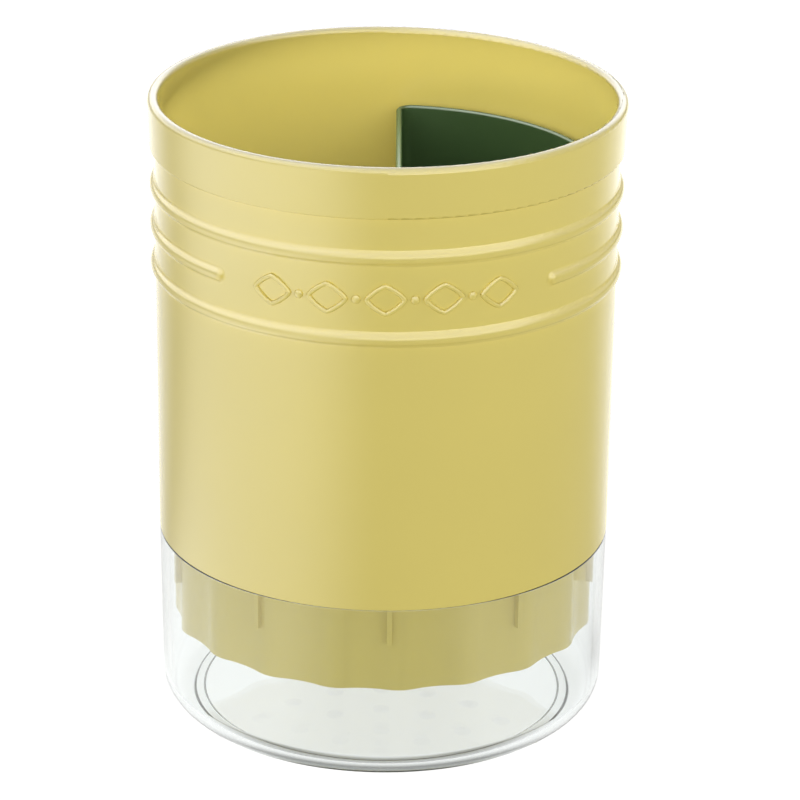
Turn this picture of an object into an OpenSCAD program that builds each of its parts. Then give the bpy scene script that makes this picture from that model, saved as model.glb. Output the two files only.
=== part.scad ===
// Draining chopstick holder: a ribbed round barrel standing in a clear drip cup,
// with a half-round insert hung on a ledge inside the barrel.
// Millimetres. The table is z = 0, the axis is +Z and the front is -Y.

/* [Overall] */
// Height from the table to the rim
total_height = 161.4; // [135:0.2:200]
// Outer radius at the rim
rim_radius = 59.15; // [50:0.05:72]

/* [Rim band] */
// Height of the smooth band below the rim
band_height = 12.7; // [6:0.1:15]
// How far the band stands out from the wall below it
band_step = 1.23; // [0.6:0.01:2]
// Radius lost by the band from its top to its lower edge
band_draft = 0.3; // [0:0.01:0.4]
// Rounding of the band's lower edge
band_round = 0.7; // [0.2:0.1:1]
// Wall thickness at the rim
rim_wall = 2.8; // [2.7:0.1:4]
// Rounding of the two edges of the rim
rim_round = 1.3; // [0.3:0.1:1.3]

/* [Barrel wall] */
// Radius lost by the outer wall from the band to the shoulder
wall_draft = 0.42; // [0:0.01:1.5]
// Wall thickness just above the ledge
barrel_wall = 2.1; // [1.5:0.1:3.5]
// Thickness of the ledge that joins the wall to the skirt
ledge_thickness = 2.2; // [1.4:0.1:4]

/* [Ribs] */
// Number of round-backed ribs below the band
rib_count = 3; // [1:1:5]
// Depth of the first rib's middle below the rim
first_rib_depth = 22.6; // [20:0.1:30]
// Distance from one rib to the next
rib_pitch = 10.2; // [6:0.05:14]
// How far a rib stands out from the wall
rib_height = 1.2; // [0.6:0.05:1.4]
// Radius of a rib's round back
rib_back_radius = 1.6; // [1.5:0.1:2.2]
// Radius of the hollow blend at a rib's two feet
rib_foot_radius = 1.5; // [0.6:0.1:2]
// Width of the gap left in the middle rib, in degrees round the axis
rib_gap_angle = 87.5; // [30:0.5:140]

/* [Skirt] */
// Depth of the fluted skirt below the shoulder
skirt_depth = 22.9; // [14:0.1:32]
// Gap between the flute crests and the cup's wall at the cup's rim
skirt_gap = 1.4; // [1.2:0.1:6]
// Number of flutes
flute_count = 20; // [16:1:28]
// Depth of a flute from crest to hollow
flute_depth = 1.26; // [0.7:0.02:1.8]
// Radius of a flute's crest
flute_crest_radius = 8.8; // [6.5:0.1:12]
// Turn of the first crest from the front, in degrees
flute_turn = 5; // [0:0.5:18]
// Wall thickness of the skirt
skirt_wall = 2; // [1.4:0.1:3]
// Thickness of the drained floor
floor_thickness = 2.2; // [1.4:0.1:4]

/* [Locating ribs] */
// Number of upright ribs that centre the barrel in the cup
locator_count = 10; // [4:1:16]
// Length of a locating rib below the shoulder
locator_length = 10.4; // [5:0.1:13]
// Width of a locating rib
locator_width = 1.3; // [0.8:0.1:2.5]
// Turn of the first locating rib from the front, in degrees
locator_turn = 1.9; // [0:0.1:36]
// Gap between a locating rib and the cup's wall
locator_gap = 0.4; // [0.2:0.05:0.6]

/* [Floor drain] */
// Radius of a drain hole in the barrel's floor
drain_radius = 2.4; // [1:0.1:3.5]
// Distance from one ring of drain holes to the next
drain_pitch = 12.5; // [8:0.1:20]
// Least width of floor left between a drain hole and the skirt
drain_margin = 3; // [1:0.1:8]

/* [Drip cup] */
// Height of the cup from the table to its rim, which carries the barrel
cup_height = 48; // [40:0.1:56]
// How far the cup's rim lies inside the barrel's wall
cup_inset = 0.06; // [0:0.02:1]
// Wall thickness of the cup
cup_wall = 2.2; // [2:0.1:3.2]
// Radius lost by the cup's wall from its rim to its lower corner
cup_draft = 0.5; // [0:0.05:2]
// Outer radius of the cup's lower corner
cup_corner_radius = 7.4; // [5:0.1:12]
// Thickness of the cup's floor
cup_floor = 2.2; // [1.4:0.1:4]
// Rounding of the two edges of the cup's rim
cup_rim_round = 0.9; // [0.2:0.05:0.95]
// Height of the foot ring below the cup's floor
foot_height = 0.8; // [0.4:0.1:2]
// Width of the foot ring
foot_width = 2.4; // [1:0.1:5]
// Distance from the foot ring to where the lower corner begins
foot_margin = 0.8; // [0.2:0.1:4]

/* [Insert] */
// Depth of the insert's top edge below the rim
insert_depth = 19.6; // [4:0.1:40]
// Gap between the insert's round wall and the barrel just above the ledge
insert_gap = 1.5; // [0.6:0.1:2.4]
// Distance from the axis to the flat face of the partition
partition_offset = 2.2; // [-12:0.1:20]
// Wall thickness of the insert
insert_wall = 1.4; // [1.4:0.1:2.5]
// Outer radius of the two upright corners of the insert
insert_corner_radius = 4; // [3:0.1:8]
// Thickness of the insert's floor
insert_floor = 1.8; // [1.2:0.1:3]
// Radius of a drain hole in the insert's floor
insert_drain_radius = 2; // [1:0.1:3]
// Distance between neighbouring drain holes in the insert's floor
insert_drain_pitch = 11; // [8:0.1:16]
// Least distance from a drain hole of the insert to the skirt or to the partition
insert_drain_margin = 2.5; // [1:0.1:6]

/* [Hidden] */
$fn = 120;
// Extra length of a cutter past the face that it opens
over = 1;
// Depth that a rib's root is sunk into the wall that carries it
root = 0.6;
// Depth that a rib's hollow feet reach under the wall, for a clean crossing
foot_sink = 0.05;
// Depth that a hollow arc cuts past the point where it touches a round one, so that they cross cleanly
touch_cut = 0.002;
// Depth that a rib's round end lies below the rib it closes
end_sink = 0.03;
// Azimuth of the front, as an angle from +X
front = -90;

barrel_color = [0.83, 0.77, 0.45];
cup_color = [0.9, 0.93, 0.93, 0.35];
insert_color = [0.19, 0.29, 0.15];

// Barrel, from the rim down
band_bottom_radius = rim_radius - band_draft;
band_z = total_height - band_height;
wall_top_radius = band_bottom_radius - band_step;
band_edge = min(band_round, 0.9 * band_step);
shoulder_radius = wall_top_radius - wall_draft;
shoulder_z = cup_height;
ledge_z = shoulder_z + ledge_thickness;
rim_inner_radius = rim_radius - rim_wall;
ledge_inner_radius = shoulder_radius - barrel_wall;
skirt_bottom_z = shoulder_z - skirt_depth;
floor_z = skirt_bottom_z + floor_thickness;

// Cup, from its rim down
cup_radius = shoulder_radius - cup_inset;
cup_inner_radius = cup_radius - cup_wall;
cup_corner_z = foot_height + cup_corner_radius;
cup_angle = atan2(cup_draft, cup_height - cup_corner_z);
cup_corner_x = corner_x(cup_radius, cup_corner_z, cup_corner_radius);
foot_radius = cup_corner_x - foot_margin;

// Skirt outline
crest_radius = cup_inner_radius - skirt_gap;
hollow_radius = crest_radius - flute_depth;
flute_pitch = 360 / flute_count;
crest_centre = crest_radius - flute_crest_radius;
flute_hollow_radius = blend_radius(crest_centre, flute_crest_radius, hollow_radius, flute_pitch / 2);
hollow_centre = hollow_radius + flute_hollow_radius;
skirt_inner_radius = hollow_radius - skirt_wall;
drain_rings = floor((skirt_inner_radius - drain_margin - drain_radius) / drain_pitch);

// Insert
insert_radius = ledge_inner_radius - insert_gap;
insert_top_z = total_height - insert_depth;
insert_corner_x = partition_offset + insert_corner_radius;
insert_corner_y = sqrt(pow(insert_radius - insert_corner_radius, 2) - pow(insert_corner_x, 2));
insert_corner_lean = atan2(insert_corner_y, insert_corner_x);

// Outer radius of the barrel's plain wall at height z
function wall_radius(z) =
    shoulder_radius + wall_draft * (z - shoulder_z) / (band_z - shoulder_z);

// Distance from the axis to the centre of a corner arc of radius r at height z,
// so that the cup's slanting wall line through (top_radius, cup_height) touches the arc
function corner_x(top_radius, z, r) =
    top_radius - ((cup_height - z) * sin(cup_angle) + r) / cos(cup_angle);

// Radius of the outside circle that passes the axis at hollow_r on its own azimuth and
// touches the circle of radius r whose centre lies centre_r out, half_pitch degrees away
function blend_radius(centre_r, r, hollow_r, half_pitch) =
    (pow(centre_r, 2) + pow(hollow_r, 2) - 2 * centre_r * hollow_r * cos(half_pitch) - pow(r, 2))
    / (2 * (r - hollow_r + centre_r * cos(half_pitch)));

// Point at radius r and azimuth a
function polar(r, a) = [r * cos(a), r * sin(a)];

// Point on the line from p towards q, at a distance d from p
function toward(p, q, d) = p + (q - p) * d / norm(q - p);

// Points where crest circle i touches the hollow circles on its two sides
function flute_touch(i, inset) =
    let (a = front + flute_turn + i * flute_pitch)
    let (crest = polar(crest_centre, a))
    let (before = polar(hollow_centre, a - flute_pitch / 2))
    let (after = polar(hollow_centre, a + flute_pitch / 2))
    [
        toward(crest, before, flute_crest_radius - inset),
        toward(crest, after, flute_crest_radius - inset)
    ];

// Skirt outline drawn in by inset: crests and hollows are arcs that touch each other
module flute_outline(inset = 0) {
    difference() {
        union() {
            polygon([for (i = [0 : flute_count - 1]) each flute_touch(i, inset)]);
            for (i = [0 : flute_count - 1])
                translate(polar(crest_centre, front + flute_turn + i * flute_pitch))
                    circle(r = flute_crest_radius - inset);
        }
        for (i = [0 : flute_count - 1])
            translate(polar(hollow_centre, front + flute_turn + (i + 0.5) * flute_pitch))
                circle(r = flute_hollow_radius + inset + touch_cut);
    }
}

// Section of a rib on a wall at x = 0: a round back that runs into two hollow feet
module rib_section() {
    back = [rib_height - rib_back_radius, 0];
    foot_x = rib_foot_radius - foot_sink;
    foot_y = sqrt(pow(rib_back_radius + rib_foot_radius, 2) - pow(foot_x - back.x, 2));
    touch = toward(back, [foot_x, foot_y], rib_back_radius);
    difference() {
        union() {
            polygon([
                [-root, -foot_y],
                [-foot_sink, -foot_y],
                [touch.x, -touch.y],
                touch,
                [-foot_sink, foot_y],
                [-root, foot_y]
            ]);
            intersection() {
                translate(back) circle(r = rib_back_radius);
                translate([-root, -foot_y]) square([root + rib_height + over, 2 * foot_y]);
            }
        }
        for (side = [-1, 1])
            translate([foot_x, side * foot_y]) circle(r = rib_foot_radius + touch_cut);
    }
}

// Half of the rib's section turned about the radial line: the round end of a rib. It is sunk
// a little, so that the part of it inside the rib stays clear of the rib's own faces.
module rib_end(radius) {
    translate([radius - end_sink, 0, 0])
        rotate([0, 90, 0])
            rotate_extrude()
                intersection() {
                    rotate([0, 0, 90]) rib_section();
                    translate([0, -root]) square([rib_back_radius + rib_foot_radius, root + rib_height + over]);
                }
}

// Middle rib, left open at the front between two round ends
module open_rib(z) {
    sweep = 360 - rib_gap_angle;
    start = front + rib_gap_angle / 2;
    radius = wall_radius(z);
    translate([0, 0, z]) {
        rotate([0, 0, start])
            rotate_extrude(angle = sweep)
                translate([radius, 0]) rib_section();
        for (end = [start, start + sweep])
            rotate([0, 0, end]) rib_end(radius);
    }
}

// Outer half-section of the barrel above the shoulder: wall, band and the whole ribs
module barrel_outer_section() {
    polygon([
        [0, shoulder_z],
        [shoulder_radius, shoulder_z],
        [wall_top_radius, band_z],
        [band_bottom_radius - band_edge, band_z],
        [band_bottom_radius, band_z + band_edge],
        [rim_radius, total_height - rim_round],
        [rim_radius - rim_round, total_height],
        [0, total_height]
    ]);
    translate([band_bottom_radius - band_edge, band_z + band_edge]) circle(r = band_edge);
    translate([rim_radius - rim_round, total_height - rim_round]) circle(r = rim_round);
    for (i = [0 : rib_count - 1])
        if (i != middle_rib())
            translate([wall_radius(rib_z(i)), rib_z(i)]) rib_section();
}

// Index of the rib that is left open at the front, and height of rib i
function middle_rib() = floor(rib_count / 2);
function rib_z(i) = total_height - first_rib_depth - i * rib_pitch;

// Half-section of the hollow above the ledge, flared by the rounded inner edge of the rim
module barrel_inner_section() {
    polygon([
        [0, ledge_z],
        [ledge_inner_radius, ledge_z],
        [rim_inner_radius, total_height - rim_round],
        [0, total_height - rim_round]
    ]);
    difference() {
        translate([0, total_height - rim_round])
            square([rim_inner_radius + rim_round, rim_round + over]);
        translate([rim_inner_radius + rim_round, total_height - rim_round]) circle(r = rim_round);
    }
}

// Upright rib from inside the skirt's wall out to the locating gap
module locator() {
    inner = skirt_inner_radius + skirt_wall / 2;
    outer = cup_inner_radius - cup_draft * locator_length / (cup_height - cup_corner_z) - locator_gap;
    translate([inner, -locator_width / 2, shoulder_z - locator_length])
        cube([outer - inner, locator_width, locator_length + ledge_thickness / 2]);
}

module drain_hole(r, z, thickness) {
    translate([0, 0, z - over]) cylinder(r = r, h = thickness + 2 * over);
}

// Middle hole and rings of 6, 12, 18 and so on
module floor_drain() {
    drain_hole(drain_radius, skirt_bottom_z, floor_thickness);
    for (ring = [1 : 1 : drain_rings])
        for (i = [0 : 6 * ring - 1])
            translate(polar(ring * drain_pitch, front + i * 60 / ring))
                drain_hole(drain_radius, skirt_bottom_z, floor_thickness);
}

module barrel() {
    color(barrel_color)
        difference() {
            union() {
                rotate_extrude() barrel_outer_section();
                open_rib(rib_z(middle_rib()));
                translate([0, 0, skirt_bottom_z])
                    linear_extrude(skirt_depth + ledge_thickness / 2) flute_outline();
                for (i = [0 : locator_count - 1])
                    rotate([0, 0, front + locator_turn + i * 360 / locator_count]) locator();
            }
            rotate_extrude() barrel_inner_section();
            translate([0, 0, floor_z])
                linear_extrude(ledge_z - floor_z + over) flute_outline(skirt_wall);
            floor_drain();
        }
}

// Solid of the cup's own outline, drawn in by inset, with its floor at floor_level
module cup_section(top_radius, floor_level, corner_radius) {
    corner_z = floor_level + corner_radius;
    centre = [corner_x(top_radius, corner_z, corner_radius), corner_z];
    touch = centre + corner_radius * [cos(cup_angle), -sin(cup_angle)];
    polygon([
        [0, floor_level],
        [centre.x, floor_level],
        touch,
        [top_radius, cup_height],
        [0, cup_height]
    ]);
    translate(centre) circle(r = corner_radius);
}

// Rounded cutter for the two edges of the cup's rim
module cup_rim_section() {
    inner = cup_inner_radius;
    z = cup_height - cup_rim_round;
    difference() {
        translate([inner - over, z]) square([cup_wall + 2 * over, cup_rim_round + over]);
        translate([inner + cup_rim_round, z - over])
            square([cup_wall - 2 * cup_rim_round, cup_rim_round + over]);
        translate([inner + cup_rim_round, z]) circle(r = cup_rim_round);
        translate([cup_radius - cup_rim_round, z]) circle(r = cup_rim_round);
    }
}

module drip_cup() {
    color(cup_color)
        rotate_extrude()
            difference() {
                union() {
                    cup_section(cup_radius, foot_height, cup_corner_radius);
                    translate([foot_radius - foot_width, 0])
                        square([foot_width, foot_height + cup_floor / 2]);
                }
                cup_section(cup_inner_radius, foot_height + cup_floor, cup_corner_radius - cup_wall);
                translate([0, cup_height - over / 2]) square([cup_inner_radius, over]);
                cup_rim_section();
            }
}

// Half-round outline drawn in by inset: a flat side, a round side and two rounded corners
module insert_outline(inset = 0) {
    r = insert_radius - inset;
    flat_x = partition_offset + inset;
    touch = polar(r, insert_corner_lean);
    far = 2 * r;
    intersection() {
        circle(r = r);
        polygon([
            [flat_x, insert_corner_y],
            [flat_x, -insert_corner_y],
            [touch.x, -touch.y],
            [2 * touch.x, -2 * touch.y],
            [far, -far],
            [far, far],
            2 * touch,
            touch
        ]);
    }
    for (side = [-1, 1])
        translate([insert_corner_x, side * insert_corner_y]) circle(r = insert_corner_radius - inset);
}

// Arcs of drain holes about the barrel's axis, all of them over the open skirt
module insert_drain() {
    reach = insert_drain_radius + insert_drain_margin;
    nearest = partition_offset + insert_wall + reach;
    for (ring_r = [skirt_inner_radius - reach : -insert_drain_pitch : nearest])
        let (half = acos(nearest / ring_r))
        let (steps = floor(half * PI / 180 * ring_r / insert_drain_pitch))
        for (i = [-steps : steps])
            translate(polar(ring_r, i * half / max(steps, 1)))
                drain_hole(insert_drain_radius, ledge_z, insert_floor);
}

module insert() {
    color(insert_color)
        difference() {
            translate([0, 0, ledge_z])
                linear_extrude(insert_top_z - ledge_z) insert_outline();
            translate([0, 0, ledge_z + insert_floor])
                linear_extrude(insert_top_z - ledge_z) insert_outline(insert_wall);
            insert_drain();
        }
}

drip_cup();
barrel();
insert();
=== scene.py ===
# %% [markdown]
# # A draining chopstick holder
#
# The object is three plastic mouldings that stand in each other: a clear drip cup, a ribbed yellow
# barrel with a fluted skirt, and a green half-round insert. This lesson dresses the finished solid
# model of the holder: it gives each moulding its plastic, adds the raised ornament on the front, and
# lights the whole as a small studio would.
#
# The solid model is loaded first and never moved. Everything below is in metres, in the same frame:
# +Z is up, the table is z = 0, and the front of the holder looks along -Y.

import bmesh
import bpy
import numpy as np
from mathutils import Matrix, Vector
from mathutils.geometry import delaunay_2d_cdt


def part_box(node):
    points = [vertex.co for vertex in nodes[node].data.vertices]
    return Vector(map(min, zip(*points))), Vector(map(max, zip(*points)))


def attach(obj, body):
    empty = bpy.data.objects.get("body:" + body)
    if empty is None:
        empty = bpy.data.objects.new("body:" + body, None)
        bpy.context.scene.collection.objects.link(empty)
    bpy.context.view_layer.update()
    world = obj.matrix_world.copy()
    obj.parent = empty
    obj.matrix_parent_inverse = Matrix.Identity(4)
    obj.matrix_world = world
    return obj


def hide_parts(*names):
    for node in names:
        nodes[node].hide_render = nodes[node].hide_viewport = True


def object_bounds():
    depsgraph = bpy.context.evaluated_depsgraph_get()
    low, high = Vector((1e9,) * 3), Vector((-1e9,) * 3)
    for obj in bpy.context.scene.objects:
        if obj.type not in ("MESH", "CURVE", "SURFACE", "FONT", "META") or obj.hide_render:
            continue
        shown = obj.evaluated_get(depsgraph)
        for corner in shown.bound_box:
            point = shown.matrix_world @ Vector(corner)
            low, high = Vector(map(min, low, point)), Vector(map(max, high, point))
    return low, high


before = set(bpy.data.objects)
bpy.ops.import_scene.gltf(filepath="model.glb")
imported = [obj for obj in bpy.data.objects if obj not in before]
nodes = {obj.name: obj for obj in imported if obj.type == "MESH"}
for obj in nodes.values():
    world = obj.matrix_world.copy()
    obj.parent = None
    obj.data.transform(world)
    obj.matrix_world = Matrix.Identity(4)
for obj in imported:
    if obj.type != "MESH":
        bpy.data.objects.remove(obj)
solid_low, solid_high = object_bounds()
MM = 0.001
print("solid model", [round(v / MM, 1) for v in solid_high - solid_low], "mm")

# %% [markdown]
# ## The camera's directions
#
# A product photograph is taken with a long lens from a little above the rim. How high the camera
# stands, how far away it is and a very small roll decide how round the rim looks and how much the
# barrel narrows downwards. A Track To constraint could aim the camera, but it knows no roll. So the
# camera's own three directions are worked out, and its matrix is built from them.

# %% Camera directions
CAMERA_ELEVATION = np.radians(21.48)
CAMERA_ROLL = np.radians(0.646)


def camera_axes(elevation, roll):
    """Right, up and backward directions of a camera on the front side, turned by roll about its view."""
    back = np.array([0.0, -np.cos(elevation), np.sin(elevation)])
    level = np.array([1.0, 0.0, 0.0])
    upright = np.cross(back, level)
    right = level * np.cos(roll) + upright * np.sin(roll)
    up = upright * np.cos(roll) - level * np.sin(roll)
    return right, up, back


right, up, back = camera_axes(CAMERA_ELEVATION, CAMERA_ROLL)
print("the camera looks along", [round(float(v), 3) for v in -back])

# %% [markdown]
# ## The lens
#
# The photograph is 800 pixels wide, and its focal length was found in those pixels. Blender wants
# millimetres on a sensor of a known width, so one is scaled to the other. The optical axis of the
# photograph isn't in the middle of the picture. Turning the camera would make upright lines lean, so
# the lens is shifted a little instead, as on a view camera.

# %% Place the camera
PICTURE_PIXELS = 800
FOCAL_PIXELS = 3862.8
AXIS_PIXEL = (384.9, 371.4)
SENSOR_MM = 36.0
CAMERA_DISTANCE = 0.976
LOOK_BELOW_RIM = 0.0735

look_at = np.array([0.0, 0.0, solid_high.z - LOOK_BELOW_RIM])
lens = bpy.data.cameras.new("lens")
lens.sensor_width = SENSOR_MM
lens.lens = FOCAL_PIXELS / PICTURE_PIXELS * SENSOR_MM
lens.shift_x = (PICTURE_PIXELS / 2 - AXIS_PIXEL[0]) / PICTURE_PIXELS
lens.shift_y = (AXIS_PIXEL[1] - PICTURE_PIXELS / 2) / PICTURE_PIXELS
camera = bpy.data.objects.new("camera", lens)
turn = Matrix([[*row] for row in np.stack([right, up, back], 1)]).to_4x4()
camera.matrix_world = Matrix.Translation(Vector(look_at + back * CAMERA_DISTANCE)) @ turn
bpy.context.scene.collection.objects.link(camera)
bpy.context.scene.camera = camera
print("lens", round(lens.lens, 1), "mm, camera at", [round(v, 3) for v in camera.matrix_world.translation])

# %% [markdown]
# ## Helpers for node materials
#
# Every plastic here is a Principled shader fed by a few noise patterns. Such a material could be drawn
# by hand in the shader editor, but a script shows it at a glance. The helpers below make a node, set
# its sockets and link it in one call, so that a material reads as a list of what it is made of.
# Patterns read Object coordinates, which are real metres on every piece, so a grain keeps its true
# scale wherever the piece is.

# %% Material helpers
def linear(r, g, b):
    """Scene-linear colour of a display colour given as 0 to 255."""
    c = np.array([r, g, b], float) / 255
    return tuple(np.where(c <= 0.04045, c / 12.92, ((c + 0.055) / 1.055) ** 2.4))


def new_material(name):
    """An empty node material and its output node."""
    material = bpy.data.materials.new(name)
    material.use_nodes = True
    material.node_tree.nodes.clear()
    output = material.node_tree.nodes.new("ShaderNodeOutputMaterial")
    return material, output


def add(material, kind, settings=(), **inputs):
    """A new node. settings sets its own options, inputs its sockets: a socket of another node is linked."""
    node = material.node_tree.nodes.new("ShaderNode" + kind)
    for key, value in dict(settings).items():
        setattr(node, key, value)
    for key, value in inputs.items():
        socket = node.inputs[key.replace("_", " ")]
        if isinstance(value, bpy.types.NodeSocket):
            material.node_tree.links.new(value, socket)
        else:
            socket.default_value = value
    return node


def spread(material, value, low, high):
    """A pattern's value from 0 to 1, brought between low and high."""
    node = add(material, "MapRange", Value=value, From_Min=0.0, From_Max=1.0, To_Min=low, To_Max=high)
    return node.outputs["Result"]


print("display grey 128 is", round(float(linear(128, 128, 128)[0]), 3), "of the light of white")

# %% [markdown]
# ## Satin moulded plastic
#
# The barrel and the insert are moulded in a solid-coloured plastic with a fine satin skin. One flat
# colour with one roughness would look drawn, not moulded. Close up, such a skin is a very shallow grain
# left by the mould, and across a hand's width its colour and its shine drift a little where the melt
# flowed. So one fine noise makes the grain, as a bump two hundredths of a millimetre deep, and two broad
# ones move the colour and the roughness by a few hundredths.
#
# A Mix node has sockets for numbers, vectors and colours under the same names, so its colour sockets are
# told by their places.

# %% Satin plastic
GRAIN_SCALE = 1400.0
GRAIN_DEPTH = 0.02 * MM
GRAIN_STRENGTH = 0.12
DRIFT_SCALE = 22.0
SHINE_SCALE = 66.0
COLOUR_DRIFT = 0.03
SHINE_DRIFT = 0.04
YELLOW = linear(209, 193, 104)
YELLOW_ROUGHNESS = 0.165
GREEN = linear(47, 67, 36)
GREEN_ROUGHNESS = 0.36
MIX_FACTOR, MIX_COLOUR_A, MIX_COLOUR_B = 0, 6, 7
MIX_COLOUR_RESULT = 2


def satin_plastic(name, colour, roughness):
    """Solid-coloured plastic: broad drift of colour and shine, and a fine moulded grain."""
    material, output = new_material(name)
    place = add(material, "TexCoord").outputs["Object"]
    drift = add(material, "TexNoise", Vector=place, Scale=DRIFT_SCALE, Detail=3.0, Roughness=0.55)
    shine = add(material, "TexNoise", Vector=place, Scale=SHINE_SCALE, Detail=4.0, Roughness=0.6)
    grain = add(material, "TexNoise", Vector=place, Scale=GRAIN_SCALE, Detail=2.0, Roughness=0.5)
    tone = add(material, "Mix", {"data_type": "RGBA"})
    material.node_tree.links.new(drift.outputs["Fac"], tone.inputs[MIX_FACTOR])
    tone.inputs[MIX_COLOUR_A].default_value = tuple(c * (1 - COLOUR_DRIFT) for c in colour) + (1.0,)
    tone.inputs[MIX_COLOUR_B].default_value = tuple(c * (1 + COLOUR_DRIFT) for c in colour) + (1.0,)
    bump = add(material, "Bump", Height=grain.outputs["Fac"], Strength=GRAIN_STRENGTH, Distance=GRAIN_DEPTH)
    surface = add(
        material,
        "BsdfPrincipled",
        Base_Color=tone.outputs[MIX_COLOUR_RESULT],
        Roughness=spread(material, shine.outputs["Fac"], roughness - SHINE_DRIFT, roughness + SHINE_DRIFT),
        Normal=bump.outputs["Normal"],
    )
    material.node_tree.links.new(surface.outputs["BSDF"], output.inputs["Surface"])
    return material


yellow_plastic = satin_plastic("yellow_satin_plastic", YELLOW, YELLOW_ROUGHNESS)
green_plastic = satin_plastic("green_satin_plastic", GREEN, GREEN_ROUGHNESS)
print("plastics", yellow_plastic.name, green_plastic.name)

# %% [markdown]
# ## Clear plastic
#
# The drip cup is a hard clear plastic, such as polystyrene. Glass shaders bend light well, but in a path
# tracer a closed glass vessel keeps the lamps' light from what stands in it. So for shadow rays only,
# the surface is a plain see-through film, which lets the lamps reach the skirt inside as they do in
# life. Everything that the eye sees still goes through the true refracting surface, with the faint
# ripple of a moulding. The plastic also swallows a trace of light along the way, a little less of the
# green: straight through the wall that is hardly seen, but where light runs along the rim, the corner
# or the floor it draws the thin grey-green lines.

# %% Clear plastic
CLEAR_INDEX = 1.57
RIPPLE_SCALE = 60.0
RIPPLE_DEPTH = 0.1 * MM
RIPPLE_STRENGTH = 0.04
DEPTH_TINT = (0.86, 0.90, 0.885)
DEPTH_DENSITY = 105.0


def clear_plastic(name, tint):
    """Polished refracting plastic that casts no shadow from the lamps."""
    material, output = new_material(name)
    place = add(material, "TexCoord").outputs["Object"]
    ripple = add(material, "TexNoise", Vector=place, Scale=RIPPLE_SCALE, Detail=2.0, Roughness=0.5)
    bump = add(
        material, "Bump", Height=ripple.outputs["Fac"], Strength=RIPPLE_STRENGTH, Distance=RIPPLE_DEPTH
    )
    glass = add(
        material,
        "BsdfPrincipled",
        Base_Color=tint + (1.0,),
        Roughness=0.0,
        IOR=CLEAR_INDEX,
        Transmission_Weight=1.0,
        Normal=bump.outputs["Normal"],
    )
    film = add(material, "BsdfTransparent", Color=(1.0, 1.0, 1.0, 1.0))
    path = add(material, "LightPath")
    choose = add(material, "MixShader", Fac=path.outputs["Is Shadow Ray"])
    material.node_tree.links.new(glass.outputs["BSDF"], choose.inputs[1])
    material.node_tree.links.new(film.outputs["BSDF"], choose.inputs[2])
    material.node_tree.links.new(choose.outputs["Shader"], output.inputs["Surface"])
    depth_tint = add(material, "VolumeAbsorption", Color=DEPTH_TINT + (1.0,), Density=DEPTH_DENSITY)
    material.node_tree.links.new(depth_tint.outputs["Volume"], output.inputs["Volume"])
    return material


clear = clear_plastic("clear_plastic", linear(251, 252, 252))
print("clear plastic", clear.name, "index", CLEAR_INDEX)

# %% [markdown]
# ## Dress the barrel
#
# The barrel could be made again from formulas, as the other pieces are below. But the solid model's own
# mesh of it already has every rib, flute and drain hole, and came with normals that shade its triangles
# smooth. So it stays, and only takes its plastic.

# %% Dress the barrel
nodes["barrel"].data.materials.clear()
nodes["barrel"].data.materials.append(yellow_plastic)
print("dressed", nodes["barrel"].name)

# %% [markdown]
# ## Surfaces from formulas
#
# Blender's own cylinders and cuts could make the other pieces, but with sharp edges and walls that are
# hard to keep even. So each new piece is a closed surface written as a formula: a grid of points is
# worked out in one go with numpy, and its quads follow the grid. Where a surface narrows to a pole, or
# two grids meet, points fall together, and make_piece welds them, so that no seam stays open. Its
# modifier gives the large faces most say in the shading, so that flat faces stay flat beside small
# round edges.

# %% Mesh helpers
WELD = 0.0001 * MM


def grid_faces(rows, columns, first=0):
    """Quads of a rows x columns grid, numbered row by row from first, whose last column joins its first."""
    row, column = np.meshgrid(np.arange(rows - 1), np.arange(columns), indexing="ij")
    start, column = first + row.ravel() * columns, column.ravel()
    after, following = start + columns, (column + 1) % columns
    return np.stack([start + column, start + following, after + following, after + column], 1)


def make_piece(name, points, faces, material, body, sharp_edge=np.pi):
    """One closed piece of these points and faces: welded, shaded smooth, dressed, riding on its body.

    Edges that turn by more than the angle sharp_edge stay crisp, as round the drain holes of a flat floor.
    """
    mesh = bpy.data.meshes.new(name)
    mesh.from_pydata(points, [], faces)
    shell = bmesh.new()
    shell.from_mesh(mesh)
    bmesh.ops.remove_doubles(shell, verts=shell.verts, dist=WELD)
    shell.to_mesh(mesh)
    open_edges = sum(not e.is_manifold for e in shell.edges)
    shell.free()
    mesh.shade_smooth()
    mesh.set_sharp_from_angle(angle=sharp_edge)
    mesh.materials.append(material)
    piece = bpy.data.objects.new(name, mesh)
    even = piece.modifiers.new("flat faces stay flat", "WEIGHTED_NORMAL")
    even.mode = "FACE_AREA"
    even.keep_sharp = True
    bpy.context.scene.collection.objects.link(piece)
    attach(piece, body)
    print(name, len(mesh.vertices), "points,", open_edges, "open edges")
    return piece


print("a grid of 3 rows and 4 columns has", len(grid_faces(3, 4)), "quads")

# %% [markdown]
# ## The drip cup
#
# The cup is a turned shape: a closed half-section of arcs and straight lines goes round the axis. A
# plain wall could be turned and thickened by two modifiers, but what makes a clear moulding readable is
# its edges. So here each of them has its own small radius, and each wall leans by the mould's draft. The
# rim ends a hair below the barrel's shoulder, because two plastics that only lie on each other keep some
# air between them.

# %% Drip cup section
CUP_WALL = 2.2 * MM
CUP_CORNER = 7.4 * MM
CUP_RIM_ROUND = 0.5 * MM
CUP_FLOOR_TOP = 3.0 * MM
CUP_DRAFT_ANGLE = 0.72
RIM_CLEARANCE = 0.12 * MM
FOOT_HEIGHT = 0.8 * MM
FOOT_OUTER = 48.4 * MM
FOOT_INNER = 46.0 * MM
FOOT_ROUND = 0.35 * MM
CUP_CORNER_STEPS = 24
CUP_RIM_STEPS = 8
FOOT_STEPS = 5

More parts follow.
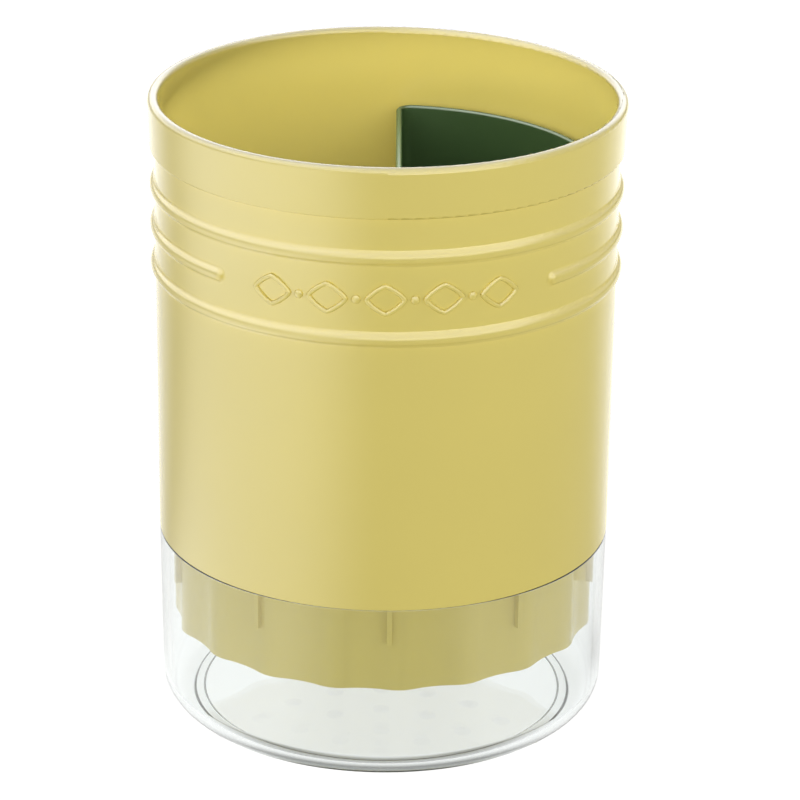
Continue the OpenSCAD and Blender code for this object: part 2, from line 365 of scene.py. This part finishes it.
cup_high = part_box("drip_cup")[1]
cup_radius = cup_high.x
cup_rim_z = cup_high.z - RIM_CLEARANCE - CUP_RIM_ROUND
corner_z = FOOT_HEIGHT + CUP_CORNER
inner_corner_radius = corner_z - CUP_FLOOR_TOP


def arc(centre, radius, start, end, steps):
    """Points of an arc about centre, from angle start to angle end in degrees."""
    a = np.radians(np.linspace(start, end, steps + 1))
    return np.stack([centre[0] + radius * np.cos(a), centre[1] + radius * np.sin(a)], 1)


def cup_corner_centre(top_radius, corner_radius):
    """Centre of the corner arc that touches the leaning wall line, which has top_radius at the cup's top."""
    lean = np.radians(CUP_DRAFT_ANGLE)
    return top_radius - ((cup_high.z - corner_z) * np.sin(lean) + corner_radius) / np.cos(lean), corner_z


outer_corner = cup_corner_centre(cup_radius, CUP_CORNER)
inner_corner = cup_corner_centre(cup_radius - CUP_WALL, inner_corner_radius)
wall_lean = 360 - CUP_DRAFT_ANGLE
cup_section = np.concatenate([
    [[0.0, FOOT_HEIGHT]],
    [[FOOT_INNER - FOOT_ROUND, FOOT_HEIGHT]],
    arc((FOOT_INNER + FOOT_ROUND, FOOT_ROUND), FOOT_ROUND, 180, 270, FOOT_STEPS),
    arc((FOOT_OUTER - FOOT_ROUND, FOOT_ROUND), FOOT_ROUND, 270, 360, FOOT_STEPS),
    [[FOOT_OUTER, FOOT_HEIGHT]],
    arc(outer_corner, CUP_CORNER, 270, wall_lean, CUP_CORNER_STEPS),
    arc((cup_radius - CUP_RIM_ROUND, cup_rim_z), CUP_RIM_ROUND, 0, 90, CUP_RIM_STEPS),
    arc((cup_radius - CUP_WALL + CUP_RIM_ROUND, cup_rim_z), CUP_RIM_ROUND, 90, 180, CUP_RIM_STEPS),
    arc(inner_corner, inner_corner_radius, wall_lean, 270, CUP_CORNER_STEPS),
    [[0.0, CUP_FLOOR_TOP]],
])
print("cup section", len(cup_section), "points, rim", round((cup_rim_z + CUP_RIM_ROUND) / MM, 2), "mm high")

# %% [markdown]
# ## Turning the cup
#
# A point (r, z) of the section becomes (r cos a, r sin a, z) for every angle a round the axis. A Screw
# modifier would do the same, but one numpy expression does it for the whole grid and shows the formula.
# The two ends of the section meet the axis as poles.

# %% Drip cup
TURN_STEPS = 240

turn_angle = np.linspace(0, 2 * np.pi, TURN_STEPS, endpoint=False)
cup_points = np.stack([
    cup_section[:, :1] * np.cos(turn_angle),
    cup_section[:, :1] * np.sin(turn_angle),
    np.repeat(cup_section[:, 1:], TURN_STEPS, 1),
], 2).reshape(-1, 3)
cup_faces = grid_faces(len(cup_section), TURN_STEPS)
cup = make_piece("clear_cup", cup_points, cup_faces, clear, "drip_cup")
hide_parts("drip_cup")

# %% [markdown]
# ## The insert's outline
#
# Seen from above, the insert's wall is a flat side, two round corners and a long arc about the barrel's
# axis. It could be a bevelled curve, but that would bulge at the corners. An outline drawn in by a
# distance keeps the same arc centres, so here each point of the wall is a point of the outer outline,
# moved in along its own normal.

# %% Insert outline
INSERT_CORNER = 4.0 * MM
FLAT_STEPS = 60
INSERT_CORNER_STEPS = 24
LONG_ARC_STEPS = 120

insert_low, insert_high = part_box("insert")
flat_x = insert_low.x
insert_radius = insert_high.x
corner_x = flat_x + INSERT_CORNER
corner_y = np.sqrt((insert_radius - INSERT_CORNER) ** 2 - corner_x**2)
corner_lean = np.degrees(np.arctan2(corner_y, corner_x))


def stretch(start, end, steps):
    """steps points from start to end, without the end."""
    return np.linspace(start, end, steps, endpoint=False)


def insert_outline():
    """Outer outline and its outward normals: flat side, corner, long arc on the +X side, corner."""
    flat = stretch(-corner_y, corner_y, FLAT_STEPS)
    spots = [np.stack([np.full_like(flat, flat_x), flat], 1)]
    normals = [np.tile([-1.0, 0.0], (len(flat), 1))]
    for centre, radius, start, end, steps in (
        ((corner_x, corner_y), INSERT_CORNER, 180, corner_lean, INSERT_CORNER_STEPS),
        ((0.0, 0.0), insert_radius, corner_lean, -corner_lean, LONG_ARC_STEPS),
        ((corner_x, -corner_y), INSERT_CORNER, -corner_lean, -180, INSERT_CORNER_STEPS),
    ):
        a = np.radians(stretch(start, end, steps))
        normal = np.stack([np.cos(a), np.sin(a)], 1)
        spots.append(np.array(centre) + radius * normal)
        normals.append(normal)
    return np.concatenate(spots), np.concatenate(normals)


outline, outward = insert_outline()
print("insert outline", len(outline), "points, flat side at x =", round(flat_x / MM, 2), "mm")

# %% [markdown]
# ## The insert's wall
#
# A Solidify modifier could thicken the outline, but it would leave a square rim and no fillet inside. So
# the wall has a drawn section, as depth behind the outer face against height. It goes from a small round
# edge at the foot up the outside, over a round rim, down the inside and round a small fillet onto the
# floor. The wall's grid is section by outline: spot = outline point - depth x outward normal.

# %% Insert wall
INSERT_WALL = 1.4 * MM
INSERT_RIM_ROUND = 0.69 * MM
INSERT_FLOOR = 1.8 * MM
INSERT_FILLET = 1.0 * MM
INSERT_FOOT_ROUND = 0.4 * MM
INSERT_FOOT_STEPS = 5
INSERT_RIM_STEPS = 7
INSERT_FILLET_STEPS = 6

floor_z = insert_low.z + INSERT_FLOOR
insert_rim_z = insert_high.z - INSERT_RIM_ROUND
foot_centre = (INSERT_FOOT_ROUND, insert_low.z + INSERT_FOOT_ROUND)
fillet_centre = (INSERT_WALL + INSERT_FILLET, floor_z + INSERT_FILLET)
insert_section = np.concatenate([
    arc(foot_centre, INSERT_FOOT_ROUND, 270, 180, INSERT_FOOT_STEPS),
    arc((INSERT_RIM_ROUND, insert_rim_z), INSERT_RIM_ROUND, 180, 90, INSERT_RIM_STEPS),
    arc((INSERT_WALL - INSERT_RIM_ROUND, insert_rim_z), INSERT_RIM_ROUND, 90, 0, INSERT_RIM_STEPS),
    arc(fillet_centre, INSERT_FILLET, 180, 270, INSERT_FILLET_STEPS),
])
depth, height = insert_section.T[:, :, None, None]
wall_spots = outline[None] - outward[None] * depth
wall_heights = np.broadcast_to(height, wall_spots.shape[:2] + (1,))
wall_points = np.concatenate([wall_spots, wall_heights], 2)
print("insert wall", wall_points.shape[0], "x", wall_points.shape[1], "points")

# %% [markdown]
# ## The insert's drain holes
#
# The floor lets water through round holes, set in arcs about the barrel's axis. They could be cut with a
# Boolean modifier, but its cuts leave slivers that shade badly. Here each hole is a ring of points from
# the start, and the floor is made round it.

# %% Insert drain holes
INSERT_DRAIN_RADIUS = 2.0 * MM
INSERT_DRAIN_PITCH = 11.0 * MM
INSERT_DRAIN_OUTER = 45.78 * MM
INSERT_DRAIN_NEAREST = 8.1 * MM
DRAIN_STEPS = 32

circle_angle = np.radians(stretch(0, 360, DRAIN_STEPS))
drain_ring = INSERT_DRAIN_RADIUS * np.stack([np.cos(circle_angle), np.sin(circle_angle)], 1)
drains = []
for row_radius in np.arange(INSERT_DRAIN_OUTER, INSERT_DRAIN_NEAREST, -INSERT_DRAIN_PITCH):
    half_angle = np.arccos(INSERT_DRAIN_NEAREST / row_radius)
    steps = int(half_angle * row_radius / INSERT_DRAIN_PITCH)
    for angle in np.linspace(-half_angle, half_angle, 2 * steps + 1) if steps else [0.0]:
        drains.append(row_radius * np.array([np.cos(angle), np.sin(angle)]) + drain_ring)
print("insert floor", len(drains), "drain holes")

# %% [markdown]
# ## The insert in one piece
#
# The two faces of the floor are flat sheets. A constrained triangulation fills the room between the
# wall's loop and the rings of the holes, and a short tube joins the two sheets at each hole. The edges
# of flat sheets and tubes stay crisp, because smooth shading over them would quilt the floor.

# %% Insert
INSERT_SHARP_EDGE = np.radians(50.0)
INSIDE_WITHOUT_HOLES = 2
TOUCHING = 1e-9


def floor_sheet(edge, holes, z):
    """Points and triangles of a flat sheet at height z, inside the edge loop and outside the holes."""
    loops = [edge, *holes]
    starts = np.cumsum([0] + [len(loop) for loop in loops[:-1]])
    rings = [(s + np.arange(len(loop))).tolist() for s, loop in zip(starts, loops)]
    flat_points = [Vector(p) for p in np.concatenate(loops).tolist()]
    spots, _, faces, *_ = delaunay_2d_cdt(flat_points, [], rings, INSIDE_WITHOUT_HOLES, TOUCHING)
    return np.array([(p.x, p.y, z) for p in spots]), np.array(faces)


insert_points = [wall_points.reshape(-1, 3)]
insert_faces = grid_faces(len(insert_section), len(outline)).tolist()
for edge, z, turn_over in ((wall_spots[-1], floor_z, False), (wall_spots[0], insert_low.z, True)):
    sheet_points, sheet_faces = floor_sheet(edge, drains, z)
    first = sum(len(p) for p in insert_points)
    insert_points.append(sheet_points)
    insert_faces += (first + (sheet_faces[:, ::-1] if turn_over else sheet_faces)).tolist()
for hole in drains:
    first = sum(len(p) for p in insert_points)
    for z in (insert_low.z, floor_z):
        insert_points.append(np.column_stack([hole, np.full(len(hole), z)]))
    insert_faces += grid_faces(2, len(hole), first)[:, ::-1].tolist()
insert_piece = make_piece(
    "insert_cup",
    np.concatenate(insert_points),
    insert_faces,
    green_plastic,
    "insert",
    sharp_edge=INSERT_SHARP_EDGE,
)
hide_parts("insert")

# %% [markdown]
# ## Raised ornament on the front
#
# In the open part of the middle rib stands a plain raised ornament: lozenge rings with a round stud
# between each two. Bevelled curves could draw them, but they would have to be bent onto the wall after.
# So every ridge is a surface over the unrolled wall. Its centre line is a superellipse,
# |s/a|^p + |t/b|^p = 1 with s along the wall and t up it, and its section is a low dome. The unrolled
# point (s, t, h) then goes to the angle s/R at height t, and to the wall's radius plus h.

# %% Ornament shapes
ORNAMENT_Z = 128.5 * MM
ORNAMENT_RADIUS = 57.54 * MM
LOZENGE_HALF = (4.5 * MM, 3.5 * MM)
LOZENGE_POWER = 1.25
RIDGE_HALF = 0.6 * MM
RIDGE_HEIGHT = 0.75 * MM
RIDGE_ROOT = 0.3 * MM
STUD_RADIUS = 1.1 * MM
LOZENGE_STEPS = 96
RIDGE_STEPS = 16
STUD_ROUND_STEPS = 48
STUD_DOME_STEPS = 9


def on_wall(s, t, h):
    """Place on the barrel's front wall of the unrolled point: s along it, t above the middle, h out."""
    angle = s / ORNAMENT_RADIUS
    r = ORNAMENT_RADIUS + h
    return np.stack([r * np.sin(angle), -r * np.cos(angle), ORNAMENT_Z + t], -1)


def ridge_section():
    """Closed low dome, across and out: half an ellipse over the wall and a flat root under it."""
    a = np.radians(np.linspace(0, 180, RIDGE_STEPS))
    across = np.concatenate([RIDGE_HALF * np.cos(a), [-RIDGE_HALF, RIDGE_HALF]])
    out = np.concatenate([RIDGE_HEIGHT * np.sin(a), [-RIDGE_ROOT, -RIDGE_ROOT]])
    return across[:, None], out[:, None]


def lozenge(middle_s):
    """Points of one lozenge ring, rows round its section and columns round its centre line."""
    u = np.linspace(0, 2 * np.pi, LOZENGE_STEPS, endpoint=False)
    power = 2 / LOZENGE_POWER
    s = LOZENGE_HALF[0] * np.sign(np.cos(u)) * np.abs(np.cos(u)) ** power
    t = LOZENGE_HALF[1] * np.sign(np.sin(u)) * np.abs(np.sin(u)) ** power
    ds = np.roll(s, -1) - np.roll(s, 1)
    dt = np.roll(t, -1) - np.roll(t, 1)
    length = np.hypot(ds, dt)
    across, out = ridge_section()
    ring = on_wall(middle_s + s + across * dt / length, t - across * ds / length, out + 0 * s)
    return np.concatenate([ring, ring[:1]])


def stud(middle_s):
    """Points of one stud: a low dome turned about its own middle, closed by a flat root."""
    u = np.linspace(0, 2 * np.pi, STUD_ROUND_STEPS, endpoint=False)
    a = np.radians(np.linspace(90, 0, STUD_DOME_STEPS))[:, None]
    r = np.concatenate([STUD_RADIUS * np.cos(a), [[STUD_RADIUS]], [[0.0]]])
    out = np.concatenate([RIDGE_HEIGHT * np.sin(a), [[-RIDGE_ROOT]], [[-RIDGE_ROOT]]])
    return on_wall(middle_s + r * np.cos(u), r * np.sin(u), out + 0 * u)


print("lozenge grid", lozenge(0.0).shape[:2], "and stud grid", stud(0.0).shape[:2])

# %% [markdown]
# ## The ornament in one piece
#
# The rings stand at an even pitch with the middle one in front, and a stud sits half a pitch before each
# ring but the first. Their grids go into one mesh, because a mould would form them all at once.

# %% Ornament
LOZENGE_COUNT = 5
LOZENGE_PITCH = 14.0 * MM

ornament_points, ornament_faces = [], []
for i in range(LOZENGE_COUNT):
    middle_s = (i - (LOZENGE_COUNT - 1) / 2) * LOZENGE_PITCH
    shapes = [lozenge(middle_s)]
    if i:
        shapes.append(stud(middle_s - LOZENGE_PITCH / 2))
    for shape in shapes:
        first = sum(len(p) for p in ornament_points)
        ornament_faces += grid_faces(*shape.shape[:2], first).tolist()
        ornament_points.append(shape.reshape(-1, 3))
ornament_points = np.concatenate(ornament_points)
make_piece("front_ornament", ornament_points, ornament_faces, yellow_plastic, "barrel")

# %% [markdown]
# ## Studio: telling the rays apart
#
# The photograph has a white ground that runs into a white background. A large floor and a white sky give
# that. White on all sides alone would lay the same haze on every surface, so the floor and the sky tell
# four kinds of rays apart:
#
# - direct rays, from the camera or through clear plastic, which find white
# - sharp rays, mirrored by clear plastic, which find a studio that is darker in front and white elsewhere
# - satin rays, mirrored by the solid plastics, which find bright cards overhead and on the left
# - light rays, which only carry light to the surfaces, and find a glow low over the horizon
#
# So the cards lay a pale haze on the left side and pale lines on the rim and the ribs, while the colours
# themselves are lit by lamps. A node setup for this is a sum of shares times strengths.

# %% Tell the rays apart
def math(tree, operation, first, second):
    """Output of a Math node of two inputs, each a number or a socket."""
    node = tree.nodes.new("ShaderNodeMath")
    node.operation = operation
    for socket, value in zip(node.inputs, (first, second)):
        if isinstance(value, bpy.types.NodeSocket):
            tree.links.new(value, socket)
        else:
            socket.default_value = value
    return node.outputs[0]


def product(tree, first, *factors):
    """Product of two or more numbers or sockets."""
    for factor in factors:
        first = math(tree, "MULTIPLY", first, factor)
    return first


def blend(tree, *pairs):
    """Sum of share times value over the pairs."""
    total = 0.0
    for share, value in pairs:
        total = math(tree, "ADD", total, math(tree, "MULTIPLY", share, value))
    return total


def ray_shares(tree):
    """1 or 0 for each kind of ray, in the order direct, sharp, satin, light."""
    path = tree.nodes.new("ShaderNodeLightPath").outputs
    direct = math(tree, "MAXIMUM", path["Is Camera Ray"], path["Is Transmission Ray"])
    mirrored = math(tree, "MULTIPLY", path["Is Glossy Ray"], math(tree, "SUBTRACT", 1.0, direct))
    sharp = math(tree, "MULTIPLY", mirrored, path["Is Singular Ray"])
    satin = math(tree, "SUBTRACT", mirrored, sharp)
    light = math(tree, "SUBTRACT", math(tree, "SUBTRACT", 1.0, direct), mirrored)
    return direct, sharp, satin, light


print("four kinds of rays: direct, sharp, satin and light")

# %% [markdown]
# ## Studio: soft-edged cards
#
# A card could be a real bright panel, but then every kind of ray would see it. Here it is a formula in a
# material: brightness as a smooth step over a direction or a distance. Directions are told by the cosine
# of the angle to the middle of the card, which is a dot product of two directions, and level ones are
# counted in degrees from the front towards the left.

# %% Directions and smooth steps
UP = np.array([0.0, 0.0, 1.0])


def from_front(degrees):
    """Level direction this many degrees from the front towards the left."""
    a = np.radians(degrees)
    return np.array([-np.sin(a), -np.cos(a), 0.0])


def smooth_step(tree, value, edge, low, high):
    """low to high, smoothly, as value goes from edge[0] to edge[1]."""
    node = tree.nodes.new("ShaderNodeMapRange")
    node.interpolation_type = "SMOOTHSTEP"
    tree.links.new(value, node.inputs["Value"])
    for key, number in (("From Min", edge[0]), ("From Max", edge[1]), ("To Min", low), ("To Max", high)):
        node.inputs[key].default_value = number
    return node.outputs["Result"]


def vector_math(tree, operation, result, *vectors):
    """Named result of a Vector Math node, whose inputs are sockets or fixed vectors."""
    node = tree.nodes.new("ShaderNodeVectorMath")
    node.operation = operation
    for socket, vector in zip(node.inputs, vectors):
        if isinstance(vector, bpy.types.NodeSocket):
            tree.links.new(vector, socket)
        else:
            socket.default_value = vector
    return node.outputs[result]


def toward(tree, vector, direction, edge, low, high):
    """low to high as the cosine of the angle between vector and direction goes from edge[0] to edge[1]."""
    length_one = vector_math(tree, "NORMALIZE", "Vector", vector)
    cosine = vector_math(tree, "DOT_PRODUCT", "Value", length_one, direction / np.linalg.norm(direction))
    return smooth_step(tree, cosine, edge, low, high)


print("left is", [round(float(v), 3) for v in from_front(90.0)])

# %% [markdown]
# ## The floor's brightness
#
# The floor is told by each place's distance from the holder and its direction. Satin rays find a bright
# card on the left, little in front, more behind, and nothing next to the foot, where the holder would
# stand in its own light. Sharp rays find a floor that is dark straight in front. Rays through the clear
# plastic find a ring of contact shade under the cup's round corner, strongest in front, and a dimmer
# floor at the front right. The lamps pass the cup without casting that shade, so it is laid here.
#
# Distances are in metres, and the edge of a direction is a pair of cosines. A cosine is never over 1, so
# the left card, whose edge ends past 1, is broad and soft and stays a little under its full strength.

# %% Floor brightness
FLOOR_WHITE = 0.95
FLOOR_GLOW = 0.1
LEFT_CARD_ANGLE = 62.0
LEFT_CARD_EDGE = (0.47, 1.08)
SATIN_CARD = 3.5
SATIN_FRONT = 0.5
SATIN_BACK = 1.25
SATIN_BACK_EDGE = (0.3, 0.9)
SATIN_CLEAR_OF_FOOT = (0.058, 0.1)
SATIN_FAR = (0.32, 0.44)
SATIN_FAR_SHARE = 1.3
SHARP_FRONT = 0.03
SHARP_ROUND = 0.85
SHARP_FRONT_EDGE = (0.75, 0.98)
SHARP_CARD = 0.25
SHADE = 0.72
SHADE_SIDES = 0.12
SHADE_FRONT_EDGE = (0.35, 0.9)
SHADE_INNER = (0.0455, 0.0475)
SHADE_OUTER = (0.051, 0.055)
DIM = 0.45
DIM_ANGLE = -45.0
DIM_EDGE = (0.2, 0.6)
DIM_START = (0.062, 0.075)


def satin_floor(tree, place, distance, left_card):
    """What satin rays find: the left card on a floor brighter behind and far off, nothing at the foot."""
    plain = toward(tree, place, from_front(180.0), SATIN_BACK_EDGE, SATIN_FRONT, SATIN_BACK)
    cards = blend(tree, (left_card, SATIN_CARD), (1.0, plain))
    clear_of_foot = smooth_step(tree, distance, SATIN_CLEAR_OF_FOOT, 0.0, 1.0)
    far = smooth_step(tree, distance, SATIN_FAR, 1.0, SATIN_FAR_SHARE)
    return product(tree, cards, clear_of_foot, far)


def sharp_floor(tree, place, left_card):
    """What sharp rays find: dark straight in front, nearly white round it, brightest at the left card."""
    around = toward(tree, place, from_front(0.0), SHARP_FRONT_EDGE, SHARP_ROUND, SHARP_FRONT)
    return blend(tree, (left_card, SHARP_CARD), (1.0, around))


def direct_floor(tree, place, distance):
    """What direct rays find: white, and through clear plastic the ring of shade and the dimmer right."""
    rise = smooth_step(tree, distance, SHADE_INNER, 0.0, SHADE)
    fall = smooth_step(tree, distance, SHADE_OUTER, 1.0, 0.0)
    ring = product(tree, rise, fall, toward(tree, place, from_front(0.0), SHADE_FRONT_EDGE, SHADE_SIDES, 1.0))
    dim = toward(tree, place, from_front(DIM_ANGLE), DIM_EDGE, 0.0, DIM)
    dim = product(tree, dim, smooth_step(tree, distance, DIM_START, 0.0, 1.0))
    through = tree.nodes.new("ShaderNodeLightPath").outputs["Is Transmission Ray"]
    shade = product(tree, through, math(tree, "MAXIMUM", ring, dim))
    return math(tree, "MULTIPLY", FLOOR_WHITE, math(tree, "SUBTRACT", 1.0, shade))


print("floor", FLOOR_WHITE, "for the eye, with a satin card of", SATIN_CARD, "at", LEFT_CARD_ANGLE, "degrees")

# %% [markdown]
# ## The floor
#
# The floor is one sheet of white paper a hair below the table plane, so that it never shares a plane
# with the cup's foot. A Diffuse shader catches shadows, and an Emission shader adds what each kind of
# ray should find. The paper is greyer for rays that see it than for light rays, so that paper and
# emission together stay close to white.

# %% Floor
FLOOR_SIZE = 6.0
FLOOR_GAP = 0.02 * MM
FLOOR_COLOUR_SEEN = 0.3
FLOOR_COLOUR_BOUNCE = 0.6


def white_floor():
    """White paper with its own brightness for each kind of ray."""
    material, output = new_material("white_paper")
    tree = material.node_tree
    place = add(material, "TexCoord").outputs["Object"]
    distance = vector_math(tree, "LENGTH", "Value", place)
    left_card = toward(tree, place, from_front(LEFT_CARD_ANGLE), LEFT_CARD_EDGE, 0.0, 1.0)
    direct, sharp, satin, light = ray_shares(tree)
    strength = blend(
        tree,
        (direct, direct_floor(tree, place, distance)),
        (sharp, sharp_floor(tree, place, left_card)),
        (satin, satin_floor(tree, place, distance, left_card)),
        (light, FLOOR_GLOW),
    )
    seen = math(tree, "SUBTRACT", 1.0, light)
    colour = blend(tree, (1.0, FLOOR_COLOUR_BOUNCE), (seen, FLOOR_COLOUR_SEEN - FLOOR_COLOUR_BOUNCE))
    paper = add(material, "BsdfDiffuse", Color=colour, Roughness=0.0)
    lift = add(material, "Emission", Color=(1.0, 1.0, 1.0, 1.0), Strength=strength)
    total = add(material, "AddShader")
    tree.links.new(paper.outputs["BSDF"], total.inputs[0])
    tree.links.new(lift.outputs["Emission"], total.inputs[1])
    tree.links.new(total.outputs["Shader"], output.inputs["Surface"])
    return material


corner_signs = np.array([(-1, -1), (1, -1), (1, 1), (-1, 1)])
floor_corners = np.column_stack([corner_signs * FLOOR_SIZE / 2, np.full(4, -FLOOR_GAP)])
floor_mesh = bpy.data.meshes.new("floor")
floor_mesh.from_pydata(floor_corners, [], [(0, 1, 2, 3)])
floor_mesh.materials.append(white_floor())
floor = bpy.data.objects.new("floor", floor_mesh)
bpy.context.scene.collection.objects.link(floor)
print("floor", FLOOR_SIZE, "m")

# %% [markdown]
# ## The sky
#
# A photograph of the sky could light the scene, but this studio is a few soft cards. To the eye the sky
# is white, and greyer high in front, where only mirror images in the clear plastic show it. To satin
# rays it is a bright card above the front, a little dimmer behind, with one more card high on the left,
# and fainter on the right and near the horizon. To the light itself it is brightest at the horizon and
# almost dark overhead, because the lamps do the lighting.

# %% Sky
SKY_DARK = 0.55
SKY_DARK_EDGE = (0.6, 0.9)
SKY_TOP_CARD = 6.5
SKY_BACK_CARD = 4.8
SKY_TOP_LEAN = 0.5
SKY_TOP_EDGE = (0.0, 0.85)
SKY_LEFT_CARD = 2.6
SKY_LEFT_LEAN = 0.75
SKY_LEFT_EDGE = (0.75, 0.97)
SKY_RIGHT_SHARE = 0.4
SKY_RIGHT_ANGLE = -111.8
SKY_RIGHT_EDGE = (0.58, 0.86)
SKY_LOW_SHARE = 0.2
SKY_LOW_EDGE = (0.03, 0.3)
SKY_LIGHT_LOW = 1.6
SKY_LIGHT_HIGH = 0.08
SKY_LIGHT_EDGE = (0.0, 0.4)

world = bpy.data.worlds.new("sky")
world.use_nodes = True
bpy.context.scene.world = world
sky = world.node_tree
gaze = sky.nodes.new("ShaderNodeTexCoord").outputs["Generated"]
direct, sharp, satin, light = ray_shares(sky)
white = toward(sky, gaze, from_front(0.0) + UP, SKY_DARK_EDGE, 1.0, SKY_DARK)
top_middle = from_front(0.0) * SKY_TOP_LEAN + UP
top_card = toward(sky, gaze, top_middle, SKY_TOP_EDGE, SKY_BACK_CARD, SKY_TOP_CARD)
left_middle = from_front(90.0) * SKY_LEFT_LEAN + UP
left_card = toward(sky, gaze, left_middle, SKY_LEFT_EDGE, 0.0, SKY_LEFT_CARD)
right_share = toward(sky, gaze, from_front(SKY_RIGHT_ANGLE), SKY_RIGHT_EDGE, 1.0, SKY_RIGHT_SHARE)
low_share = toward(sky, gaze, UP, SKY_LOW_EDGE, SKY_LOW_SHARE, 1.0)
cards = product(sky, math(sky, "ADD", top_card, left_card), right_share, low_share)
glow = toward(sky, gaze, UP, SKY_LIGHT_EDGE, SKY_LIGHT_LOW, SKY_LIGHT_HIGH)
strength = blend(sky, (direct, white), (sharp, white), (satin, cards), (light, glow))
sky.links.new(strength, sky.nodes["Background"].inputs["Strength"])
sky.nodes["Background"].inputs["Color"].default_value = (1.0, 1.0, 1.0, 1.0)
print("sky light", SKY_LIGHT_LOW, "at the horizon and", SKY_LIGHT_HIGH, "overhead")

# %% [markdown]
# ## The lamps
#
# One big lamp overhead would light the rim and leave the walls dim. Low light reaches upright walls best,
# and passes the clear cup to the skirt inside. So eight soft lamps stand in a low ring round the holder,
# a little stronger in front and weaker on the left, where the haze adds its own light. They leave a deep
# vessel dim, so one more lamp lies in the barrel's opening and faces down.

# %% Lamps
LAMP_COUNT = 8
LAMP_DISTANCE = 1.6
LAMP_HEIGHT = 0.22
LAMP_SIZE = (1.0, 0.36)
LAMP_TARGET = (0.0, 0.0, 0.1)
LAMP_RADIANCE = 4.85
FRONT_LAMP_SHARE = 1.18
LEFT_LAMP_SHARE = 0.68
OPENING_LAMP_SIZE = (0.1, 0.1)
OPENING_LAMP_RADIANCE = 2.2
OPENING_LAMP_PLACE = (0.0, -0.003, -0.004)
OPENING_LAMP_TARGET = (0.006, 0.0065, -0.1)


def soft_lamp(name, place, target, shape, size, radiance):
    """A lamp of this shape and size (width, height) that only carries light; 1 is as bright as paper."""
    data = bpy.data.lights.new(name, "AREA")
    data.shape = shape
    data.size, data.size_y = size
    area = size[0] * size[1] * (np.pi / 4 if shape == "ELLIPSE" else 1)
    data.energy = radiance * np.pi * area
    lamp = bpy.data.objects.new(name, data)
    lamp.location = place
    lamp.rotation_euler = (Vector(target) - Vector(place)).to_track_quat("-Z", "Y").to_euler()
    lamp.visible_camera = False
    lamp.visible_glossy = False
    lamp.visible_transmission = False
    bpy.context.scene.collection.objects.link(lamp)
    return lamp


for i in range(LAMP_COUNT):
    degrees = 360.0 * i / LAMP_COUNT
    lamp_place = from_front(degrees) * LAMP_DISTANCE + UP * LAMP_HEIGHT
    share = FRONT_LAMP_SHARE if i == 0 else LEFT_LAMP_SHARE if degrees < 180.0 else 1.0
    soft_lamp("low_lamp_%d" % i, lamp_place, LAMP_TARGET, "RECTANGLE", LAMP_SIZE, LAMP_RADIANCE * share)
soft_lamp(
    "opening_lamp",
    np.array(OPENING_LAMP_PLACE) + UP * solid_high.z,
    np.array(OPENING_LAMP_TARGET) + UP * solid_high.z,
    "ELLIPSE",
    OPENING_LAMP_SIZE,
    OPENING_LAMP_RADIANCE,
)

# %% [markdown]
# ## Colour management
#
# Blender's default view bends bright and strong colours, as film does. The plastics here were given
# as display colours, so the plain Standard view shows them about as they were written.

# %% Colour management
bpy.context.scene.view_settings.view_transform = "Standard"
print("view", bpy.context.scene.view_settings.view_transform)
